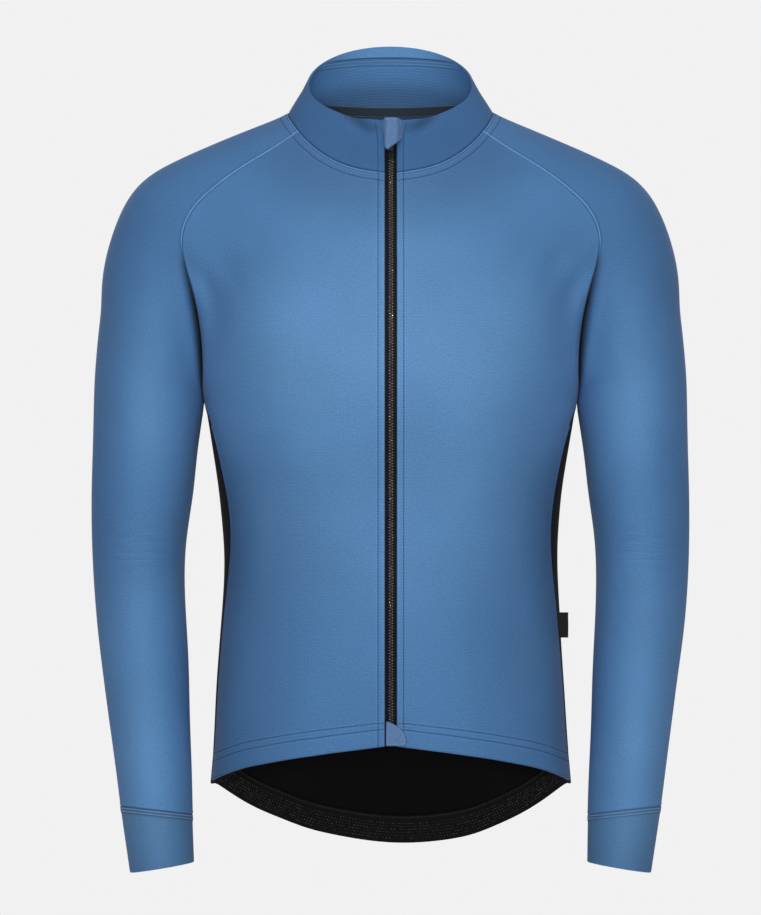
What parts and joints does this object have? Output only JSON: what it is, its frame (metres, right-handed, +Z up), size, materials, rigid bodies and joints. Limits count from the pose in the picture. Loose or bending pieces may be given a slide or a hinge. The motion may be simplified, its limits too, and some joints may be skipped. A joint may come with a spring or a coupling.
{
  "type": "thermal jacket",
  "caption": "Man's long-sleeved thermal cycling jacket in its worn, hollow shape: raglan sleeves, stand-up collar, full front zip and a dropped back hem with a gripper band.",
  "frame": {"origin": "middle of the neck's base, where the wearer's neck and shoulders hold the jacket up", "axes": "+Z up, the front faces -Y, the wearer's left is +X"},
  "size_m": [0.5598, 0.2453, 0.7762],
  "materials": {
    "blue_softshell": "brushed-back thermal knit with a smooth matt face, steel blue",
    "periwinkle_flap": "smooth paler blue knit",
    "black_softshell": "matt black thermal knit",
    "navy_tape": "ribbed dark blue tape",
    "black_gripper": "black elastic with small raised silicone dots",
    "black_tape": "woven black tape",
    "black_plastic": "moulded black plastic"
  },
  "bodies": {
    "jacket": {"front_left": "blue_softshell", "front_right": "blue_softshell", "back": "black_softshell", "sleeve_left": "blue_softshell", "sleeve_right": "blue_softshell", "cuff_left": "blue_softshell", "cuff_right": "blue_softshell", "collar": "blue_softshell", "collar_facing": "blue_softshell", "neck_tape": "navy_tape", "hem_gripper": "black_gripper", "zip_tape_left": "black_tape", "zip_tape_right": "black_tape", "zip_chain": "black_plastic", "zip_slider": "black_plastic", "zip_flap_top": "periwinkle_flap", "zip_flap_foot": "periwinkle_flap", "side_label": "black_tape"},
    "zip_pull": {"zip_pull": "black_plastic"}
  },
  "joints": [
    {"name": "zip_pull_swing", "type": "hinge", "parent": "jacket", "child": "zip_pull", "pos_m": [0, -0.07036, -0.01949], "axis": [-1, 0, 0], "range_deg": [0, 2]}
  ]
}
